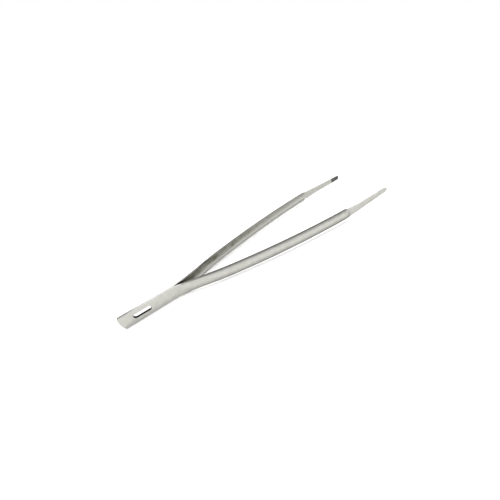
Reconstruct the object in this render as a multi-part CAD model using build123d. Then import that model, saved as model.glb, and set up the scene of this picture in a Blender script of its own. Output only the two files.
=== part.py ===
from build123d import *
import os
from math import asin, cos, degrees, hypot, radians, sin

# Stamp tongs: two pressed steel strips, spot-welded flat against each other at the rear and
# sprung apart in front of the weld. Lengths are in millimetres and angles in degrees.
# +X runs from the rear end to the tips, +Y points to the far arm, and +Z runs across the
# strips, because the tongs lie on their long edges.
# The far strip is drawn with its rear end at x = 0, its gap face on y = 0 and its middle line
# at z = 0, and the near strip is its mirror image. The last lines move the origin to the
# middle of the length, level with the lowest edge.

# overall
overall_length = 120.0
strip_thickness = 0.65
rear_width = 6.05               # widest place, at the rear end

# tang: the two strips flat together, with a slot for hanging and two spot welds
tang_length = 23.0
rear_bulge = 0.45               # how far the rear edge bows out between its corners
rear_corner_radius = 0.6
parallel_length = 4.0           # the tang keeps its full width this far from the rear end
slot_start = 5.5
slot_length = 7.3
slot_width = 1.9
weld_places = (16.4, 20.4)      # distance of each spot weld from the rear end
weld_diameter = 2.6
weld_depth = 0.24               # how far a nugget reaches into each strip
weld_rim = 0.4                  # width of the nugget's sloping rim
electrode_mark_diameter = 2.0
electrode_mark_depth = 0.06

# side shape of an arm, measured on the face towards the gap
splay_angle = 18.1              # slope straight after the bend
splay_radius = 7.8
bow_radius = 291.0
knee_start = 101.6              # where the arm turns in towards its tip
knee_radius = 26.0
toe_angle = -2.0                # slope of the tip

# the stiff stretch, pressed outwards into a shallow channel with its long edges rolled inwards
leaf_end = 30.0                 # the flat springy leaf ends here and the blade begins
channel_start = 30.6
channel_full = 34.0             # the rims reach their full depth here
rim_end = 97.0                  # and they fall away from here to channel_end
channel_end = 98.4
web_push = 0.6                  # how far the web is pressed outwards, halfway along
rim_depth = 0.5                 # how far a rim stands proud of the web on the gap side
rolled_edge_radius = 0.55
crease_radius = 0.25            # inside corner between the rim and the web

# front outline: distance along X, half width
junction = (24.0, 2.75)
shoulder = (channel_end, 2.53)
neck_outline = ((channel_end - 0.4, 2.04), (99.6, 1.82), (104.6, 1.46), (111.0, 1.27), (116.5, 1.06))
tip_radius = 0.98

# drawing aids
middle_height = rear_width / 2
cutter_reach = 60.0             # larger than the tongs are wide or deep

# the splay ends and the bow begins here, and the bow turns about this centre
bow_start = Vector(
    tang_length + splay_radius * sin(radians(splay_angle)),
    splay_radius * (1 - cos(radians(splay_angle))),
)
bow_centre = bow_start + Vector(sin(radians(splay_angle)), -cos(radians(splay_angle))) * bow_radius


def bow_angle(x):
    """Slope of the bow where its gap face crosses x."""
    return degrees(asin((bow_centre.X - x) / bow_radius))


def bow_point(x, offset=0.0):
    """Point beside the bow's gap face at x, moved away from the gap by offset."""
    angle = radians(bow_angle(x))
    return bow_centre + Vector(-sin(angle), cos(angle)) * (bow_radius + offset)


def pressed_point(x, offset=0.0):
    """Point beside the web's gap face at x. The press is deepest halfway along the blade."""
    halfway = (leaf_end + channel_end) / 2
    share = (x - halfway) / (channel_end - halfway)
    return bow_point(x, offset + web_push * (1 - share**2))


def pressed_arc(start, end, offset):
    """Arc along the pressed web from one distance to another, at an offset from its gap face."""
    return ThreePointArc(*[pressed_point(x, offset) for x in (start, (start + end) / 2, end)])


def arm_line(offset):
    """Side line of a strip from behind its rear end to past its tip, at an offset from the gap."""
    tang = Line((-1, offset), (tang_length, offset))
    splay = JernArc(tang @ 1, tang % 1, splay_radius - offset, splay_angle)
    bow = JernArc(splay @ 1, splay % 1, bow_radius + offset, bow_angle(knee_start) - splay_angle)
    knee = JernArc(bow @ 1, bow % 1, knee_radius + offset, toe_angle - bow_angle(knee_start))
    tip = Line(knee @ 1, knee @ 1 + (knee % 1) * (overall_length + 1 - (knee @ 1).X))
    return [tang, splay, bow, knee, tip]


def strip_blank():
    """The bent strip, as wide everywhere as its widest place."""
    gap_side, outside = arm_line(0), arm_line(strip_thickness)
    ends = [Line(gap_side[0] @ 0, outside[0] @ 0), Line(gap_side[-1] @ 1, outside[-1] @ 1)]
    return extrude(make_face(gap_side + outside + ends), amount=middle_height, both=True)


def square_cut(x, ahead):
    """Block that fills all space ahead of, or behind, a cut square through the bow at x."""
    angle = radians(bow_angle(x))
    cut = Plane(origin=bow_point(x), x_dir=(0, 0, 1), z_dir=(cos(angle), sin(angle), 0))
    side = Align.MIN if ahead else Align.MAX
    return cut * Box(400, 400, 400, align=(Align.CENTER, Align.CENTER, side))


def upright_slab(start, end):
    """Block that fills all space between two distances along X."""
    middle = ((start + end) / 2, 0, 0)
    return Pos(*middle) * Box(end - start, 2 * cutter_reach, 2 * cutter_reach)


def along_y(outline):
    """Prism along Y from a closed front outline drawn with X across and Z up."""
    return extrude(Plane.XZ * make_face(outline), amount=cutter_reach, both=True)


def taper_prism(narrower=0.0):
    """Front outline from the junction past the shoulder, narrower by an amount on each side."""
    x0, half0 = junction
    x1, half1 = shoulder
    half0, half1 = half0 - narrower, half1 - narrower
    slope = (half1 - half0) / (x1 - x0)
    x0, half0 = x0 - 2, half0 - 2 * slope
    x1, half1 = x1 + 2, half1 + 2 * slope
    return along_y(Polyline((x0, half0), (x1, half1), (x1, -half1), (x0, -half0), close=True))


def tang_prism():
    """Front outline of the tang, whose rear edge bows out and has rounded corners."""
    half0 = rear_width / 2
    x1, half1 = junction
    rear = ThreePointArc((rear_bulge, -half0), (0, 0), (rear_bulge, half0))
    top = [(rear_bulge, half0), (parallel_length, half0), (x1, half1)]
    sides = Polyline(*top, *[(x, -half) for x, half in reversed(top)])
    face = make_face([rear, sides])
    corners = face.vertices().sort_by(Axis.X)[:2]
    return extrude(Plane.XZ * fillet(corners, rear_corner_radius), amount=cutter_reach, both=True)


def neck_prism():
    """Front outline of the neck and the round-ended tip."""
    round_start = (overall_length - tip_radius, tip_radius)
    upper = [*neck_outline, round_start]
    lower = [(x, -half) for x, half in upper]
    nose = ThreePointArc(upper[-1], (overall_length, 0), lower[-1])
    return along_y([Polyline(*upper), nose, Polyline(*lower), Line(upper[0], lower[0])])


def rims():
    """The two rolled rims, running out to nothing at both ends."""
    proud = pressed_arc(channel_full, rim_end, -rim_depth)
    rooted = pressed_arc(channel_start, channel_end, 0.05)
    run_outs = [Line(proud @ 0, rooted @ 0), Line(proud @ 1, rooted @ 1)]
    block = extrude(make_face([proud, rooted, *run_outs]), amount=middle_height, both=True)
    return block & taper_prism() - taper_prism(strip_thickness)


def long_edges(solid, offset, at_height):
    """Long edges at an offset from the web's gap face, for which at_height(z) holds."""
    found = []
    for edge in solid.edges():
        middle = edge @ 0.5
        reach = hypot(middle.X - bow_centre.X, middle.Y - bow_centre.Y) - bow_radius - web_push
        if edge.length > 20 and abs(reach - offset) < 0.01 and at_height(abs(middle.Z)):
            found.append(edge)
    return found


def make_tang(blank):
    """Flat rear stretch of one strip, with the slot, the weld seats and the electrode marks."""
    tang = blank & upright_slab(-1, tang_length) & tang_prism()
    slot_face = Plane.XZ * Pos(slot_start + slot_length / 2, 0) * SlotOverall(slot_length, slot_width)
    tang -= extrude(slot_face, amount=cutter_reach, both=True)
    for x in weld_places:
        tang -= weld_nugget(x)
        mark = Pos(x, strip_thickness - electrode_mark_depth / 2, 0) * Rot(X=90)
        tang -= mark * Cylinder(electrode_mark_diameter / 2, electrode_mark_depth)
    return tang


def make_leaf(blank):
    """Springy stretch between the welds and the stiff blade."""
    return blank & upright_slab(tang_length, tang_length + 20) & square_cut(leaf_end, False) & taper_prism()


def make_blade(blank):
    """Stiff stretch with a pressed web and rolled rims, the neck and the tip."""
    gap_side = pressed_arc(leaf_end, channel_end, 0)
    outside = pressed_arc(leaf_end, channel_end, strip_thickness)
    ends = [Line(gap_side @ 0, outside @ 0), Line(gap_side @ 1, outside @ 1)]
    web = extrude(make_face([gap_side, outside, *ends]), amount=middle_height, both=True) & taper_prism()
    channel = web + rims()
    channel = fillet(long_edges(channel, strip_thickness, lambda z: z > 1), rolled_edge_radius)
    channel = fillet(long_edges(channel, 0, lambda z: z < 2.3), crease_radius)
    neck = blank & square_cut(channel_end, True) & neck_prism()
    return channel + neck


def weld_nugget(x):
    """Fused disc across the joint between the two strips, thinner towards its rim."""
    on_joint = (Align.CENTER, Align.CENTER, Align.MIN)
    half = Cone(weld_diameter / 2, weld_diameter / 2 - weld_rim, weld_depth, align=on_joint)
    return Pos(x, 0, 0) * (Rot(X=90) * half + Rot(X=-90) * half)


blank = strip_blank()
far_pieces = {"tang": make_tang(blank), "leaf": make_leaf(blank), "blade": make_blade(blank)}

nodes = {"spot_welds": Compound([weld_nugget(x) for x in weld_places])}
for name, piece in far_pieces.items():
    nodes[f"far_{name}"] = piece
    nodes[f"near_{name}"] = mirror(piece, about=Plane.XZ)

os.makedirs("parts", exist_ok=True)
for name, shape in nodes.items():
    export_step(Pos(-overall_length / 2, 0, middle_height) * shape, f"parts/{name}.step")
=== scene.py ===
import math

import bmesh
import bpy
import numpy as np
from mathutils import Matrix, Vector


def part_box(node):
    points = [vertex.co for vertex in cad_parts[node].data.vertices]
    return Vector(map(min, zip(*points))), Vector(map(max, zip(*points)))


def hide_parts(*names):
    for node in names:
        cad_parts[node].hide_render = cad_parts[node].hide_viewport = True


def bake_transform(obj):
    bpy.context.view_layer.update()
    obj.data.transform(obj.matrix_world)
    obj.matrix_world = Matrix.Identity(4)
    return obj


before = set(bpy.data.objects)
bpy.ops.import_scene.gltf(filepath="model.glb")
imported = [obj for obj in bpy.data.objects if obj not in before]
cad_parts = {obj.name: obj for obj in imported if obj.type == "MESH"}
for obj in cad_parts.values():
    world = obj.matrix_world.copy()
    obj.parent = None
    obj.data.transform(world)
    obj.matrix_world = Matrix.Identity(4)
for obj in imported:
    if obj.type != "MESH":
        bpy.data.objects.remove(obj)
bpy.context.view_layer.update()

# Stamp tongs lying on their long edges. Shapes are worked out in millimetres, with x from the
# rear end, and each strip is a flat blank that is pressed into a channel and bent to its side line.
mm = 0.001

tangLow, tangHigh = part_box("far_tang")
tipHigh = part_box("far_blade")[1]

strip = {
    "length": (tipHigh.x - tangLow.x) / mm,
    "tangLength": (tangHigh.x - tangLow.x) / mm,
    "thickness": (tangHigh.y - tangLow.y) / mm,
    "rearHalf": (tangHigh.z - tangLow.z) / mm / 2,
    "splayAngle": 18.1,        # degrees, straight after the bend
    "splayRadius": 7.8,
    "bowRadius": 291.0,
    "kneeStart": 101.6,
    "kneeRadius": 26.0,
    "toeAngle": -2.0,
    "parallelEnd": 4.0,        # the tang is full width to here
    "junction": (24.0, 2.69),  # x, half width
    "shoulder": (98.4, 2.31),
    "neckCut": ((96.9, 3.7), (98.5, 1.99), (99.6, 1.82), (104.6, 1.46), (111.0, 1.27), (116.5, 1.06)),
    "noseRadius": 0.98,
    "rearBulge": 0.45,
    "rearCorner": 0.6,
    "edgeBreak": 0.07,         # round along every cut edge
    "softening": 0.5,          # length over which outline corners are smoothed
    "gripStart": 115.2,        # ground flat from here to the tip, on the gap side
    "gripGrind": 0.18,
    "gripBlend": 0.8,          # length over which the ground finish fades in
    "smoothTo": 9.0,           # the cut edge is handled smooth up to about here
    "brightFrom": 30.0,        # the gap side is dull and carries painted shade up to here
    "brightTo": 100.0,         # and has lost most of its dullness and painted shade from here
    "brightShare": 0.75,       # how much of the dullness and painted shade is lost
    "gapShadeFrom": 24.5,         # painted shade in the corner of the gap thins out between these
    "gapShadeTo": 30.5,
}
channel = {
    "rollStart": 25.8,         # the edges begin to turn inwards, quickly at first
    "rollKnee": 29.5,
    "kneeShare": 0.50,         # how much of the turn is made by there
    "rollFull": 46.0,
    "rollEnd": 97.2,
    "flatAgain": 99.8,
    "rollAngle": 75.0,
    "rollRadius": 0.62,        # outer radius of the rolled edge
    "rimLength": 0.40,         # straight part of the rim past the roll
    "rimShare": 0.05,          # how far the turn has gone where the rim has its full length
    "crownHeight": 0.33,       # how far the web bulges between its rolled edges
    "pressedOut": 0.60,        # how far the web is pushed out of the flat sheet
    "pushStart": 30.0,
    "pushFull": 44.0,
    "spread": 0.22,            # how much wider the pressed stretch is, on each side
}
slot = {"start": 5.5, "length": 7.3, "half": 0.95}
weldMarks = {"places": (16.4, 20.4), "radius": 1.15, "depth": 0.05}
grid = {"face": 11, "roll": 8, "rim": 3, "edge": 4, "support": 0.04}


def smoothStep(t):  # 3t^2 - 2t^3 between 0 and 1, flat outside
    t = np.clip(t, 0, 1)
    return t * t * (3 - 2 * t)


def gapLine(x):
    # Height and slope of the face towards the gap: level tang, arc out, long arc back, short arc,
    # and a straight tip.
    s = strip
    splay, toe = math.radians(s["splayAngle"]), math.radians(s["toeAngle"])
    x1 = s["tangLength"]
    x2 = x1 + s["splayRadius"] * math.sin(splay)
    y2 = s["splayRadius"] * (1 - math.cos(splay))
    bowX, bowY = x2 + s["bowRadius"] * math.sin(splay), y2 - s["bowRadius"] * math.cos(splay)
    x3 = s["kneeStart"]
    knee = math.asin((bowX - x3) / s["bowRadius"])
    y3 = bowY + s["bowRadius"] * math.cos(knee)
    kneeX, kneeY = x3 + s["kneeRadius"] * math.sin(knee), y3 - s["kneeRadius"] * math.cos(knee)
    x4 = kneeX - s["kneeRadius"] * math.sin(toe)
    y4 = kneeY + s["kneeRadius"] * math.cos(toe)
    slope = np.select(
        [x < x1, x < x2, x < x3, x < x4],
        [0 * x, np.arcsin(np.clip((x - x1) / s["splayRadius"], -1, 1)),
         np.arcsin(np.clip((bowX - x) / s["bowRadius"], -1, 1)),
         np.arcsin(np.clip((kneeX - x) / s["kneeRadius"], -1, 1))],
        toe,
    )
    height = np.select(
        [x < x1, x < x2, x < x3, x < x4],
        [0 * x, s["splayRadius"] * (1 - np.cos(slope)), bowY + s["bowRadius"] * np.cos(slope),
         kneeY + s["kneeRadius"] * np.cos(slope)],
        y4 + (x - x4) * math.tan(toe),
    )
    return height, slope


def pressing(x):
    # The pressed section at x: half width of the flat web, roll angle, crown curvature, blank half width
    # and the share of the web's push. Each share is a smooth step up and a smooth step down.
    s, c = strip, channel
    fullAngle = math.radians(c["rollAngle"])
    quick = smoothStep((x - c["rollStart"]) / (c["rollKnee"] - c["rollStart"]))
    slow = smoothStep((x - c["rollKnee"]) / (c["rollFull"] - c["rollKnee"]))
    rise = c["kneeShare"] * quick + (1 - c["kneeShare"]) * slow
    fall = 1 - smoothStep((x - c["rollEnd"]) / (c["flatAgain"] - c["rollEnd"]))
    pressed = rise * fall
    roll = fullAngle * pressed
    pushed = fall * smoothStep((x - c["pushStart"]) / (c["pushFull"] - c["pushStart"]))
    outer = np.interp(x, [s["parallelEnd"], s["junction"][0]], [s["rearHalf"], s["junction"][1]])
    taper = (s["shoulder"][1] - s["junction"][1]) / (s["shoulder"][0] - s["junction"][0])
    outer = np.where(x > s["junction"][0], s["junction"][1] + (x - s["junction"][0]) * taper, outer)
    outer = outer + c["spread"] * pressed
    rim = c["rimLength"] * smoothStep(pressed / c["rimShare"])
    flat = outer - c["rollRadius"] * np.sin(roll) - rim * np.cos(roll)
    crown = 2 * c["crownHeight"] * pressed / flat**2
    blank = flat + c["rollRadius"] * roll + rim
    cutX, cutHalf = zip(*s["neckCut"])
    cut = np.interp(x, [0, *cutX, s["length"] - s["noseRadius"]], [9, *cutHalf, s["noseRadius"]])
    return flat, roll, crown, np.minimum(blank, cut), pushed


def softened(x, values):  # running mean over the softening length
    offsets = np.linspace(-0.5, 0.5, 9) * strip["softening"]
    return np.mean([np.interp(x + d, x, values) for d in offsets], axis=0)


# table of the blank's half width, read by linear interpolation
tableX = np.linspace(0, strip["length"], 4801)
blankTable = softened(tableX, pressing(tableX)[3])


def outlineAndMiddle():
    # Columns across the upper half of the blank. Each has a point on the outline with its outward
    # direction, and a point on the middle line or on the slot's edge with its direction into the slot.
    s, e = strip, strip["edgeBreak"]
    slotEnd, r = slot["start"] + slot["length"], slot["half"]
    endHeights = np.linspace(0, s["rearHalf"] - s["rearCorner"], 9)[:-1]
    cornerX = s["rearBulge"] * (1 - s["rearCorner"] / s["rearHalf"]) ** 2 + s["rearCorner"]
    turn = np.linspace(0, np.pi / 2, 9)
    rear = np.concatenate([
        np.stack([s["rearBulge"] * (endHeights / s["rearHalf"]) ** 2, endHeights], 1),
        np.stack([cornerX - s["rearCorner"] * np.cos(turn),
                  s["rearHalf"] - s["rearCorner"] + s["rearCorner"] * np.sin(turn)], 1),
    ])
    quarter = np.linspace(0, np.pi / 2, 10)
    slotX = np.concatenate([
        slot["start"] + r - r * np.cos(quarter),
        np.linspace(slot["start"] + r, slotEnd - r, 16)[1:-1],
        slotEnd - r + r * np.sin(quarter),
    ])
    slotC = np.concatenate([r * np.sin(quarter), np.full(14, r), r * np.cos(quarter)])
    toSlot = np.linspace(cornerX, slot["start"], 16)[1:-1]
    side = np.concatenate([
        np.arange(slotEnd + 0.12, s["tangLength"], 0.22),
        np.linspace(s["tangLength"], 26.0, 24)[:-1],
        np.arange(26.0, 96.6, 0.3),
        np.linspace(96.6, 100.2, 40)[:-1],
        np.arange(100.2, s["length"] - s["noseRadius"] - 0.1, 0.24),
    ])
    noseTurn = np.linspace(0, np.pi / 2, 15)
    noseMiddle = s["length"] - s["noseRadius"]
    half = lambda x: np.interp(x, tableX, blankTable)
    outline = np.concatenate([
        rear,
        np.stack([toSlot, half(toSlot)], 1),
        np.stack([slotX, half(slotX)], 1),
        np.stack([side, half(side)], 1),
        np.stack([noseMiddle + s["noseRadius"] * np.sin(noseTurn), s["noseRadius"] * np.cos(noseTurn)], 1),
    ])
    along = np.gradient(outline, axis=0)
    along[0], along[-1] = (0, 1), (0, -1)
    along /= np.linalg.norm(along, axis=1)[:, None]
    outward = np.stack([-along[:, 1], along[:, 0]], 1)
    beforeSlot = len(rear) + len(toSlot)
    middle = np.zeros_like(outline)
    middle[:beforeSlot, 0] = np.linspace(e, slot["start"] - e, beforeSlot, endpoint=False)
    middle[beforeSlot:, 0] = np.clip(outline[beforeSlot:, 0], slotEnd + e, None)
    middle[-len(noseTurn):, 0] = noseMiddle + (s["noseRadius"] - e) * np.sin(noseTurn)
    isSlot = np.zeros(len(outline), bool)
    isSlot[beforeSlot:beforeSlot + len(slotX)] = True
    slotMiddleX = np.clip(slotX, slot["start"] + r, slotEnd - r)
    middle[isSlot] = np.stack([slotX, slotC], 1)
    intoSlot = np.zeros_like(outline)
    intoSlot[isSlot] = np.stack([slotMiddleX - slotX, -slotC], 1) / r
    return outline, outward, middle, intoSlot, isSlot


def thicknessAt(x):  # the tip is ground thinner from the gap side
    share = (x - strip["gripStart"]) / (strip["length"] - strip["gripStart"])
    return strip["thickness"] - strip["gripGrind"] * np.clip(share, 0, 1)


def pressedPoint(x, across, depth):
    # Section curve from the middle outwards: a shallow arc (web), a tight arc (roll) and a straight rim.
    # A point at a depth below the outer face moves inwards along the curve's normal.
    c = channel
    flat, roll, crown, _, pushed = pressing(x)
    webC = np.minimum(across, flat)
    webTurn = crown * webC
    z = webC * (1 - webTurn**2 / 6)
    n = -webTurn * webC / 2
    rollC = np.clip(across - flat, 0, c["rollRadius"] * roll)
    turn = webTurn + rollC / c["rollRadius"]
    z = z + c["rollRadius"] * (np.sin(turn) - np.sin(webTurn))
    n = n - c["rollRadius"] * (np.cos(webTurn) - np.cos(turn))
    rimC = np.clip(across - flat - c["rollRadius"] * roll, 0, None)
    rolled = roll > 0.02
    z = z + np.where(rolled, rimC * np.cos(turn), rimC)
    n = n - np.where(rolled, rimC * np.sin(turn), 0)
    mark = 0 * x
    for place in weldMarks["places"]:
        mark = np.maximum(mark, 1 - np.hypot(x - place, across) / weldMarks["radius"])
    sunk = weldMarks["depth"] * smoothStep(mark * 3) * (depth < 0.3 * strip["thickness"])
    z = z - depth * np.sin(turn)
    n = n - depth * np.cos(turn) - sunk + strip["thickness"] + c["pressedOut"] * pushed
    return z, n, smoothStep(mark * 3), np.clip(turn / math.radians(c["rollAngle"]), 0, 1)


def bentPoint(x, z, n):  # carries a section point to the strip's side line, square to its slope
    height, slope = gapLine(x)
    return np.stack([x - n * np.sin(slope), height + n * np.cos(slope), z], -1)


def halfShell():
    # Upper half of a strip as a grid: columns along the strip, rows round the sheet's thickness.
    outline, outward, middle, intoSlot, isSlot = outlineAndMiddle()
    e, support = strip["edgeBreak"], grid["support"]
    flat, roll, crown = pressing(middle[:, 0])[:3]
    blank = np.maximum(outline[:, 1], 1e-6)
    share1 = np.minimum(flat / blank, 0.72)
    share2 = np.minimum((flat + channel["rollRadius"] * roll) / blank, 0.93)
    steps = lambda count: np.linspace(0, 1, count + 1)[None, 1:]
    face = np.concatenate([
        np.zeros((len(blank), 1)),
        share1[:, None] * steps(grid["face"]),
        share1[:, None] + (share2 - share1)[:, None] * steps(grid["roll"]),
        share2[:, None] + (1 - share2)[:, None] * steps(grid["rim"]),
    ], 1)
    face = np.insert(face, -1, np.maximum(1 - support / blank, face[:, -2] * 0.5 + 0.5), axis=1)
    face = np.insert(face, 1, np.minimum(support / blank, face[:, 1] * 0.5), axis=1)
    inner = middle - e * intoSlot
    outer = outline - e * outward
    across = inner[:, None, :] + face[:, :, None] * (outer - inner)[:, None, :]
    count = face.shape[1]

    # round, wall, round: how far each row stands in from the cut edge, and how deep it lies
    arc = np.linspace(0, np.pi / 2, grid["edge"] + 1)
    standIn = np.concatenate([e * (1 - np.sin(arc[1:])), [0, 0], e * (1 - np.sin(arc[1:]))[::-1]])
    tops = e * (1 - np.cos(arc[1:]))
    wallShares = np.array([[0.33, 0.67]])
    local = thicknessAt(outline[:, 0])[:, None]
    wallRows = np.concatenate([
        np.repeat(tops[None], len(blank), 0),
        e + (local - 2 * e) * wallShares,
        local - tops[::-1][None],
    ], 1)
    cutEdge = outline[:, None, :] - standIn[None, :, None] * outward[:, None, :]
    slotEdge = middle[:, None, :] - standIn[None, :, None] * intoSlot[:, None, :]
    thickness = strip["thickness"]
    slotRows = np.concatenate([tops, e + (thickness - 2 * e) * wallShares[0], thickness - tops[::-1]])
    faceDepth = thicknessAt(across[:, ::-1, 0])
    x = np.concatenate([across[..., 0], cutEdge[..., 0], across[:, ::-1, 0], slotEdge[:, ::-1, 0]], 1)
    c = np.concatenate([across[..., 1], cutEdge[..., 1], across[:, ::-1, 1], slotEdge[:, ::-1, 1]], 1)
    depth = np.concatenate([
        0 * across[..., 0], wallRows, faceDepth, np.repeat(slotRows[None, ::-1], len(blank), 0),
    ], 1)
    towardsInside = np.linspace(0, 1, wallRows.shape[1])[None]
    onInside = np.concatenate([
        np.zeros((len(blank), count)), np.repeat(towardsInside, len(blank), 0),
        np.ones((len(blank), count)), np.repeat(towardsInside[:, ::-1], len(blank), 0),
    ], 1)
    onEdge = np.concatenate([
        0 * face, np.ones_like(wallRows), 0 * face, np.ones((len(blank), len(slotRows))),
    ], 1)
    onEdge[:, [count - 1, count + wallRows.shape[1]]] = 1
    onEdge[isSlot, 0] = 1
    onEdge[isSlot, 2 * count + wallRows.shape[1] - 1] = 1
    shellRows = 2 * count + wallRows.shape[1]
    onSlot = np.zeros_like(onEdge)
    onSlot[isSlot, 2 * count + wallRows.shape[1]:] = 1
    return x, np.maximum(c, 0), depth, onInside, onEdge, onSlot, shellRows, isSlot


def stripMesh(name, side):
    # Both halves of one strip, joined along the middle line.
    # side is 1 for the far strip and -1 for the near one.
    x, c, depth, onInside, onEdge, onSlot, shellRows, isSlot = halfShell()
    z, n, mark, rolled = pressedPoint(x, c, depth)
    points, quads, marks = [], [], []
    columns, rows = x.shape
    number = np.arange(columns * rows).reshape(columns, rows)
    shell = np.stack([number[:-1, :shellRows - 1], number[1:, :shellRows - 1],
                      number[1:, 1:shellRows], number[:-1, 1:shellRows]], -1).reshape(-1, 4)
    ring = np.r_[shellRows - 1:rows, 0]
    inSlot = np.flatnonzero(isSlot)
    before, after = inSlot[:-1, None], inSlot[1:, None]
    wall = np.stack([number[before, ring[:-1]], number[after, ring[:-1]],
                     number[after, ring[1:]], number[before, ring[1:]]], -1).reshape(-1, 4)
    half = np.concatenate([shell, wall])
    for up in (1, -1):
        place = bentPoint(x, z * up, n).reshape(-1, 3)
        points.append(place)
        quads.append(half if up > 0 else half[:, ::-1] + columns * rows)
        marks.append(np.stack([x, c * up, depth], -1).reshape(-1, 3))
    place = np.concatenate(points) * (1, side, 1)
    place = (place - (strip["length"] / 2, 0, -strip["rearHalf"])) * mm
    faces = np.concatenate(quads)
    mesh = bpy.data.meshes.new(name)
    mesh.from_pydata(place.tolist(), [], (faces if side > 0 else faces[:, ::-1]).tolist())
    blankPlace = mesh.attributes.new("blankPlace", "FLOAT_VECTOR", "POINT")
    blankPlace.data.foreach_set("vector", np.concatenate(marks).astype(np.float32).ravel())
    # masks for the material, one value for each vertex
    gripBlend = strip["gripBlend"]
    gripShare = smoothStep((x - strip["gripStart"] + gripBlend / 2) / gripBlend) * onInside
    brighter = smoothStep((x - strip["brightFrom"]) / (strip["brightTo"] - strip["brightFrom"]))
    dullAndShadeShare = onInside * (1 - strip["brightShare"] * brighter)
    smoothRear = 0.5 + 0.5 * smoothStep((x - strip["smoothTo"] / 4) / strip["smoothTo"])
    gapDepth = smoothStep((x - strip["gapShadeFrom"]) / (strip["gapShadeTo"] - strip["gapShadeFrom"]))
    masks = {
        "gripFace": gripShare,
        "weldMark": mark,
        "rolledEdge": rolled * (1 - onInside) * (1 - onEdge),
        "rollInside": rolled * onInside,
        "shearedEdge": onEdge * (1 - rolled) * smoothRear,
        "rimEdge": onEdge * rolled,
        "dullShadedInside": dullAndShadeShare,
        "slotWallShade": onSlot,
        # where painted shade darkens the corner of the gap
        "deepGapShade": onInside * (1 - gapDepth),
    }
    for key, values in masks.items():
        attribute = mesh.attributes.new(key, "FLOAT", "POINT")
        attribute.data.foreach_set("value", np.tile(values.astype(np.float32).ravel(), 2))
    joined = bmesh.new()
    joined.from_mesh(mesh)
    bmesh.ops.remove_doubles(joined, verts=joined.verts, dist=2e-7)
    bmesh.ops.dissolve_degenerate(joined, edges=joined.edges, dist=1e-8)
    unused = [v for v in joined.verts if not v.link_faces]
    bmesh.ops.delete(joined, geom=unused, context="VERTS")
    bmesh.ops.recalc_face_normals(joined, faces=joined.faces)
    openEdges = sum(1 for edge in joined.edges if len(edge.link_faces) != 2)
    joined.to_mesh(mesh)
    joined.free()
    mesh.shade_smooth()
    piece = bpy.data.objects.new(name, mesh)
    bpy.context.scene.collection.objects.link(piece)
    print(f"{name}: {len(mesh.polygons)} faces, {openEdges} open edges")
    return piece


nearStrip = stripMesh("nearStrip", -1)
farStrip = stripMesh("farStrip", 1)
print("strips made")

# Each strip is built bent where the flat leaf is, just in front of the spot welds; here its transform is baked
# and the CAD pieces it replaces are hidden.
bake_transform(nearStrip)
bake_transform(farStrip)
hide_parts("near_tang", "near_leaf", "near_blade")
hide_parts("far_tang", "far_leaf", "far_blade")


def newGroup(name, inputs, outputs):
    # an empty node group; inputs are (name, socket type, default) and outputs (name, socket type)
    group = bpy.data.node_groups.new(name, "ShaderNodeTree")
    for label, kind, value in inputs:
        group.interface.new_socket(label, in_out="INPUT", socket_type=kind).default_value = value
    for label, kind in outputs:
        group.interface.new_socket(label, in_out="OUTPUT", socket_type=kind)
    return group, group.nodes.new("NodeGroupInput"), group.nodes.new("NodeGroupOutput")


def addNode(tree, kind, settings=None, **links):
    # a node with its plain settings, and its inputs set to a value or linked to a socket
    node = tree.nodes.new(kind)
    for key, value in (settings or {}).items():
        setattr(node, key, value)
    for key, value in links.items():
        byNumber = key[0] == "i" and key[1:].isdigit()
        socket = node.inputs[int(key[1:]) if byNumber else key.replace("_", " ")]
        if isinstance(value, bpy.types.NodeSocket):
            tree.links.new(value, socket)
        else:
            socket.default_value = value
    return node


def math2(tree, operation, a, b, clamp=False):
    settings = {"operation": operation, "use_clamp": clamp}
    return addNode(tree, "ShaderNodeMath", settings, i0=a, i1=b).outputs[0]


def rolledGrain():
    # Fine drawn-out scratches and soft mottling: noise stretched along X, at a coarse and a fine scale.
    group, given, result = newGroup(
        "rolledGrain",
        [("Vector", "NodeSocketVector", (0, 0, 0)), ("Length", "NodeSocketFloat", 1.0),
         ("Width", "NodeSocketFloat", 1.0)],
        [("Scratches", "NodeSocketFloat"), ("Mottle", "NodeSocketFloat"), ("Height", "NodeSocketFloat")],
    )
    split = addNode(group, "ShaderNodeSeparateXYZ", i0=given.outputs["Vector"])
    stretched = addNode(
        group, "ShaderNodeCombineXYZ",
        i0=math2(group, "DIVIDE", split.outputs["X"], given.outputs["Length"]),
        i1=math2(group, "DIVIDE", split.outputs["Y"], given.outputs["Width"]),
        i2=math2(group, "DIVIDE", split.outputs["Z"], given.outputs["Width"]),
    )
    fine = addNode(group, "ShaderNodeTexNoise", i0=stretched.outputs[0], Scale=1.0, Detail=4.0, Roughness=0.62)
    mottle = addNode(
        group, "ShaderNodeTexNoise", i0=given.outputs["Vector"], Scale=420.0, Detail=5.0, Roughness=0.6,
    )
    ridges = math2(group, "MULTIPLY", math2(group, "SUBTRACT", fine.outputs["Fac"], 0.5), 2.0)
    group.links.new(fine.outputs["Fac"], result.inputs["Scratches"])
    group.links.new(mottle.outputs["Fac"], result.inputs["Mottle"])
    group.links.new(math2(group, "MULTIPLY_ADD", ridges, 0.5), result.inputs["Height"])
    return group


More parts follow.
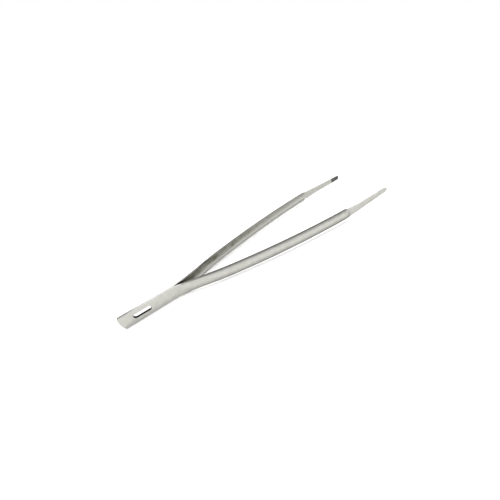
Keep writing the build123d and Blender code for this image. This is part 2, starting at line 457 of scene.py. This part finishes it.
def edgeWearAndRimLight():
    # Brighter, smoother metal where an edge is marked, broken up by noise: real wear on the cut edges, and
    # painted light on the lower rim edges.
    group, given, result = newGroup(
        "edgeWearAndRimLight",
        [("Vector", "NodeSocketVector", (0, 0, 0)), ("Edge", "NodeSocketFloat", 0.0),
         ("Patchiness", "NodeSocketFloat", 0.5)],
        [("Mask", "NodeSocketFloat")],
    )
    patches = addNode(group, "ShaderNodeTexNoise", i0=given.outputs["Vector"], Scale=900.0, Detail=3.0)
    low = math2(group, "SUBTRACT", 1.0, given.outputs["Patchiness"])
    broken = math2(group, "MULTIPLY", patches.outputs["Fac"], given.outputs["Patchiness"])
    lifted = math2(group, "ADD", broken, low)
    group.links.new(math2(group, "MULTIPLY", given.outputs["Edge"], lifted, True), result.inputs["Mask"])
    return group


grainGroup, wearAndRimLightGroup = rolledGrain(), edgeWearAndRimLight()


def mixColor(tree, factor, a, b, blend="MIX"):
    node = tree.nodes.new("ShaderNodeMix")
    node.data_type, node.blend_type = "RGBA", blend
    for socket, value in ((node.inputs[0], factor), (node.inputs[6], a), (node.inputs[7], b)):
        if isinstance(value, bpy.types.NodeSocket):
            tree.links.new(value, socket)
        else:
            socket.default_value = value
    return node.outputs[2]


stripFinish = {
    "steel": (0.605, 0.602, 0.567, 1),
    "shadeSteel": (0.40, 0.397, 0.365, 1),
    "edgeSteel": (0.86, 0.86, 0.83, 1),
    "gripSteel": (0.10, 0.10, 0.098, 1),
    "weldTint": (0.50, 0.49, 0.45, 1),
    "weldShare": 0.35,
    # painted shade along the rolled edges of the outer face
    "rollShadeSteel": (0.16, 0.158, 0.148, 1),
    "upperRollShare": 0.15,    # how much painted shade darkens the rolled edges, the upper one here
    "lowerRollShare": 1.0,
    "creaseShare": 0.8,        # how dark the painted shade makes the upper rim there
    "streakLength": 9 * mm,
    "streakWidth": 0.22 * mm,
    "streakContrast": 2.2,     # how uneven the dull gap side is
    "litLowerRimShare": 0.6,       # painted light: how matt and bright the lower rim is on the gap side
    # dark colour of the gap side: partly a dull finish, partly painted shade between the arms
    "dullShadedSteel": (0.16, 0.158, 0.125, 1),
    # painted shade on the slot's walls, drawn near black
    "slotWallShade": (0.02, 0.02, 0.02, 1),
    # painted shade for the corner of the gap and for the upper crease of the gap side
    "gapShade": (0.07, 0.068, 0.06, 1),
    "roughness": 0.30,
    "insideRoughness": 0.2,   # added where the gap side is dull
    "litBelowFrom": 0.2,        # painted light: the gap side gets brighter downwards, from here, in mm from its middle
    "litBelowTo": -1.8,
    "litBelowLeft": 0.0,         # share of the dullness and painted shade that is left there
    "shearedShare": 0.7,       # how matt the cut edges are
    "roughnessSpread": 0.14,
    "wornSmooth": 0.06,        # how much smoother a worn edge is
    "wearPatchiness": 0.5,
    "grazingTint": (0.1, 0.1, 0.1, 1),
    "grainLength": 2.2 * mm,
    "grainWidth": 0.10 * mm,
    "bumpDepth": 0.004 * mm,
}


def stripSteel():
    finish = stripFinish
    material = bpy.data.materials.new("stripSteel")
    material.use_nodes = True
    tree = material.node_tree
    shader = tree.nodes["Principled BSDF"]
    place = addNode(tree, "ShaderNodeAttribute", {"attribute_name": "blankPlace"}).outputs["Vector"]
    inMetres = addNode(tree, "ShaderNodeVectorMath", {"operation": "SCALE"}, i0=place, Scale=mm).outputs[0]
    mask = lambda name: addNode(tree, "ShaderNodeAttribute", {"attribute_name": name}).outputs["Fac"]
    grain = addNode(tree, "ShaderNodeGroup", {"node_tree": grainGroup}, Vector=inMetres,
                    Length=finish["grainLength"], Width=finish["grainWidth"])
    across = addNode(tree, "ShaderNodeSeparateXYZ", i0=place).outputs["Y"]
    lower = addNode(tree, "ShaderNodeMapRange", i0=across, i1=0.5, i2=-0.5).outputs[0]
    # painted light: the cut edges of the lower rims get half the brightening of a worn cut edge
    rimEdge = math2(tree, "MULTIPLY", math2(tree, "MULTIPLY", mask("rimEdge"), lower), 0.5)
    cutEdge = math2(tree, "ADD", mask("shearedEdge"), rimEdge)
    wearAndRimLight = addNode(tree, "ShaderNodeGroup", {"node_tree": wearAndRimLightGroup}, Vector=inMetres,
                   Edge=cutEdge, Patchiness=finish["wearPatchiness"])
    color = mixColor(tree, grain.outputs["Mottle"], finish["shadeSteel"], finish["steel"])
    streaks = addNode(tree, "ShaderNodeGroup", {"node_tree": grainGroup}, Vector=inMetres,
                      Length=finish["streakLength"], Width=finish["streakWidth"])
    # painted light on the lower half of the gap side: the dark colour thins out downwards
    shadeAbove = addNode(tree, "ShaderNodeMapRange", {"interpolation_type": "SMOOTHSTEP"}, i0=across,
                     i1=finish["litBelowFrom"], i2=finish["litBelowTo"],
                     i3=1.0, i4=finish["litBelowLeft"]).outputs[0]
    dullAndShade = math2(tree, "MULTIPLY", mask("dullShadedInside"), shadeAbove)
    patchy = math2(tree, "ADD", streaks.outputs["Scratches"], streaks.outputs["Mottle"])
    broken = math2(tree, "MULTIPLY_ADD", patchy, finish["streakContrast"])
    broken.node.inputs[2].default_value = 0.9 - finish["streakContrast"]
    dullAndShadeMask = math2(tree, "MULTIPLY", dullAndShade, broken, True)
    # the gap side drawn darker: partly its dull finish, partly painted shade between the arms, fading towards
    # the tips
    color = mixColor(tree, dullAndShadeMask, color, finish["dullShadedSteel"])
    # painted shade along the rolled edges: slight on the upper edge, full on the lower one
    below = addNode(tree, "ShaderNodeMapRange", i0=across, i1=0.5, i2=-0.5,
                    i3=finish["upperRollShare"], i4=finish["lowerRollShare"]).outputs[0]
    rollShadeMask = math2(tree, "MULTIPLY", mask("rolledEdge"), below)
    color = mixColor(tree, rollShadeMask, color, finish["rollShadeSteel"])
    # painted light on the lower rim of the gap side, drawn matt and bright
    litLowerRim = math2(tree, "MULTIPLY", mask("rollInside"), lower)
    # painted shade in the upper crease of the gap side
    upperCrease = math2(tree, "MULTIPLY", mask("rollInside"), math2(tree, "SUBTRACT", 1.0, lower))
    creaseShadeMask = math2(tree, "MULTIPLY", upperCrease, finish["creaseShare"])
    litLowerRimMask = math2(tree, "MULTIPLY", litLowerRim, finish["litLowerRimShare"])
    color = mixColor(tree, creaseShadeMask, color, finish["gapShade"])
    color = mixColor(tree, litLowerRimMask, color, finish["edgeSteel"])
    # painted shade in the corner of the gap, near the bend
    color = mixColor(tree, mask("deepGapShade"), color, finish["gapShade"])
    weldMask = math2(tree, "MULTIPLY", mask("weldMark"), finish["weldShare"])
    color = mixColor(tree, weldMask, color, finish["weldTint"])
    color = mixColor(tree, wearAndRimLight.outputs["Mask"], color, finish["edgeSteel"])
    color = mixColor(tree, mask("gripFace"), color, finish["gripSteel"])
    # painted shade on the slot's walls
    color = mixColor(tree, mask("slotWallShade"), color, finish["slotWallShade"])
    tree.links.new(color, shader.inputs["Base Color"])
    rough = math2(tree, "MULTIPLY", math2(tree, "SUBTRACT", grain.outputs["Scratches"], 0.5),
                  finish["roughnessSpread"])
    rough = math2(tree, "ADD", rough, finish["roughness"])
    rough = math2(tree, "ADD", rough, math2(tree, "MULTIPLY", dullAndShade, finish["insideRoughness"]))
    worn = math2(tree, "MULTIPLY", wearAndRimLight.outputs["Mask"], finish["wornSmooth"])
    rough = math2(tree, "SUBTRACT", rough, worn, True)
    tree.links.new(rough, shader.inputs["Roughness"])
    sheared = math2(tree, "MULTIPLY", cutEdge, finish["shearedShare"])
    sheared = math2(tree, "ADD", sheared, litLowerRimMask)
    tree.links.new(math2(tree, "SUBTRACT", 1.0, sheared, True), shader.inputs["Metallic"])
    shader.inputs["Specular Tint"].default_value = finish["grazingTint"]
    bump = addNode(tree, "ShaderNodeBump", Strength=0.35, Distance=finish["bumpDepth"],
                   Height=grain.outputs["Height"])
    tree.links.new(bump.outputs[0], shader.inputs["Normal"])
    return material


weldFinish = {
    "steel": (0.46, 0.45, 0.43, 1),
    "burnt": (0.30, 0.27, 0.25, 1),
    "roughness": 0.5,
    "roughnessSpread": 0.2,
    "grainSize": 0.3 * mm,
    "bumpDepth": 0.02 * mm,
}


def weldSteel():
    # fused metal: dull, coarse and blotchy
    material = bpy.data.materials.new("weldSteel")
    material.use_nodes = True
    tree = material.node_tree
    shader = tree.nodes["Principled BSDF"]
    place = addNode(tree, "ShaderNodeTexCoord").outputs["Object"]
    grain = addNode(tree, "ShaderNodeGroup", {"node_tree": grainGroup}, Vector=place,
                    Length=weldFinish["grainSize"], Width=weldFinish["grainSize"])
    color = mixColor(tree, grain.outputs["Mottle"], weldFinish["burnt"], weldFinish["steel"])
    tree.links.new(color, shader.inputs["Base Color"])
    spread = math2(tree, "MULTIPLY", grain.outputs["Scratches"], weldFinish["roughnessSpread"])
    rough = math2(tree, "ADD", spread, weldFinish["roughness"] - weldFinish["roughnessSpread"] / 2)
    tree.links.new(rough, shader.inputs["Roughness"])
    shader.inputs["Metallic"].default_value = 1.0
    bump = addNode(tree, "ShaderNodeBump", Strength=0.5, Distance=weldFinish["bumpDepth"],
                   Height=grain.outputs["Height"])
    tree.links.new(bump.outputs[0], shader.inputs["Normal"])
    return material


steel, weld = stripSteel(), weldSteel()
for piece in (nearStrip, farStrip):
    piece.data.materials.append(steel)
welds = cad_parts["spot_welds"]
if not welds.data.materials:
    welds.data.materials.append(weld)
for held in welds.material_slots:
    held.material = weld
print("materials made")

studio = {
    "floorSize": 1.2,
    "floorDrop": 0.0001,       # how far the floor lies below the tongs
    "floorColor": (0.93, 0.93, 0.925, 1),
    "shadowLift": 0.35,        # light added to the floor, so that its shadows stay faint
    "mirrorLift": 0.08,        # the same, as the metal mirrors the floor
    "paleBackdrop": (1.0, 1.0, 1.0, 1),
    "keyStrength": 3.0,
    "keyElevation": 74.0,      # degrees above the floor
    "keyAzimuth": 90.0,        # 90 shines from behind the tongs, -90 from the camera's side
    "keySoftness": 60.0,       # degrees across
    "zenith": 0.30,            # how bright the room looks to the metal, overhead
    "horizonFront": 0.30,
    "horizonBack": 0.60,
    "panelLow": 0.30,          # sines of the soft panel's elevations
    "panelHigh": 0.75,
    "panelBrightness": 1.0,
    "panelFade": 0.15,         # how softly its lower and upper edges end
    "panelSide": 0.1,          # it fades in from the side to the front
    "panelFront": -0.4,
    "zenithFrom": 0.25,        # sines of the elevations between which the room turns to its zenith
    "zenithFull": 0.85,
}


def makeFloor():
    mesh = bpy.data.meshes.new("floor")
    s, low = studio["floorSize"] / 2, -studio["floorDrop"]
    mesh.from_pydata([(-s, -s, low), (s, -s, low), (s, s, low), (-s, s, low)], [], [(0, 1, 2, 3)])
    floor = bpy.data.objects.new("floor", mesh)
    bpy.context.scene.collection.objects.link(floor)
    material = bpy.data.materials.new("paleFloor")
    material.use_nodes = True
    tree = material.node_tree
    shader = tree.nodes["Principled BSDF"]
    shader.inputs["Base Color"].default_value = studio["floorColor"]
    shader.inputs["Roughness"].default_value = 0.9
    shader.inputs["Specular IOR Level"].default_value = 0.1
    ray = addNode(tree, "ShaderNodeLightPath")
    seenGlow = math2(tree, "MULTIPLY", ray.outputs["Is Camera Ray"], studio["shadowLift"])
    mirroredGlow = math2(tree, "MULTIPLY", ray.outputs["Is Glossy Ray"], studio["mirrorLift"])
    glow = math2(tree, "ADD", seenGlow, mirroredGlow)
    tree.links.new(addNode(tree, "ShaderNodeCombineColor", i0=glow, i1=glow, i2=glow).outputs[0],
                   shader.inputs["Emission Color"])
    shader.inputs["Emission Strength"].default_value = 1.0
    mesh.materials.append(material)


def makeKeyLight():
    # one wide soft light; polished metal doesn't mirror its disc
    data = bpy.data.lights.new("keyLight", "SUN")
    data.energy, data.angle = studio["keyStrength"], math.radians(studio["keySoftness"])
    light = bpy.data.objects.new("keyLight", data)
    up, around = math.radians(studio["keyElevation"]), math.radians(studio["keyAzimuth"])
    towards = Vector((math.cos(up) * math.cos(around), math.cos(up) * math.sin(around), math.sin(up)))
    light.rotation_euler = towards.to_track_quat("Z", "Y").to_euler()
    light.visible_glossy = False
    bpy.context.scene.collection.objects.link(light)


def makeRoom():
    # The room round the tongs: brightness runs from the horizon to the zenith, and from front to back.
    world = bpy.data.worlds.new("studioRoom")
    bpy.context.scene.world = world
    world.use_nodes = True
    tree = world.node_tree
    direction = addNode(tree, "ShaderNodeTexCoord").outputs["Generated"]
    toward = addNode(tree, "ShaderNodeSeparateXYZ", i0=direction)
    fade = lambda value, start, end, low=0.0, high=1.0: addNode(
        tree, "ShaderNodeMapRange", {"interpolation_type": "SMOOTHSTEP"},
        i0=value, i1=start, i2=end, i3=low, i4=high).outputs[0]
    horizon = fade(toward.outputs["Y"], -1.0, 1.0, studio["horizonFront"], studio["horizonBack"])
    height = fade(toward.outputs["Z"], studio["zenithFrom"], studio["zenithFull"])
    zenith = addNode(tree, "ShaderNodeMix", i0=height, i2=horizon, i3=studio["zenith"]).outputs[0]
    # a wide soft panel high up on the camera's side
    inPanel = fade(toward.outputs["Z"], studio["panelLow"], studio["panelLow"] + studio["panelFade"])
    overPanel = fade(toward.outputs["Z"], studio["panelHigh"] - studio["panelFade"],
                     studio["panelHigh"], 1, 0)
    inFront = fade(toward.outputs["Y"], studio["panelSide"], studio["panelFront"])
    panel = math2(tree, "MULTIPLY", math2(tree, "MULTIPLY", inPanel, overPanel), inFront)
    zenith = math2(tree, "ADD", zenith, math2(tree, "MULTIPLY", panel, studio["panelBrightness"]))
    seen = addNode(tree, "ShaderNodeLightPath").outputs["Is Camera Ray"]
    room = addNode(tree, "ShaderNodeCombineColor", i0=zenith, i1=zenith, i2=zenith).outputs[0]
    color = mixColor(tree, seen, room, studio["paleBackdrop"])
    tree.links.new(color, tree.nodes["Background"].inputs["Color"])


makeFloor()
makeKeyLight()
makeRoom()
print("studio lit")

camera = {
    "place": (-0.02010, -0.08292, 0.05987),
    "right": (0.8453, -0.4190, -0.3317),
    "up": (0.5038, 0.4177, 0.7561),
    "lens": 17.28,
}


def makeCamera():
    data = bpy.data.cameras.new("camera")
    data.sensor_width, data.lens, data.clip_start = 36.0, camera["lens"], 0.002
    view = bpy.data.objects.new("camera", data)
    right, up = Vector(camera["right"]).normalized(), Vector(camera["up"])
    back = right.cross(up).normalized()
    up = back.cross(right)
    turn = Matrix((right, up, back)).transposed().to_4x4()
    view.matrix_world = Matrix.Translation(camera["place"]) @ turn
    bpy.context.scene.collection.objects.link(view)
    bpy.context.scene.camera = view


makeCamera()
bpy.context.scene.view_settings.view_transform = "Standard"
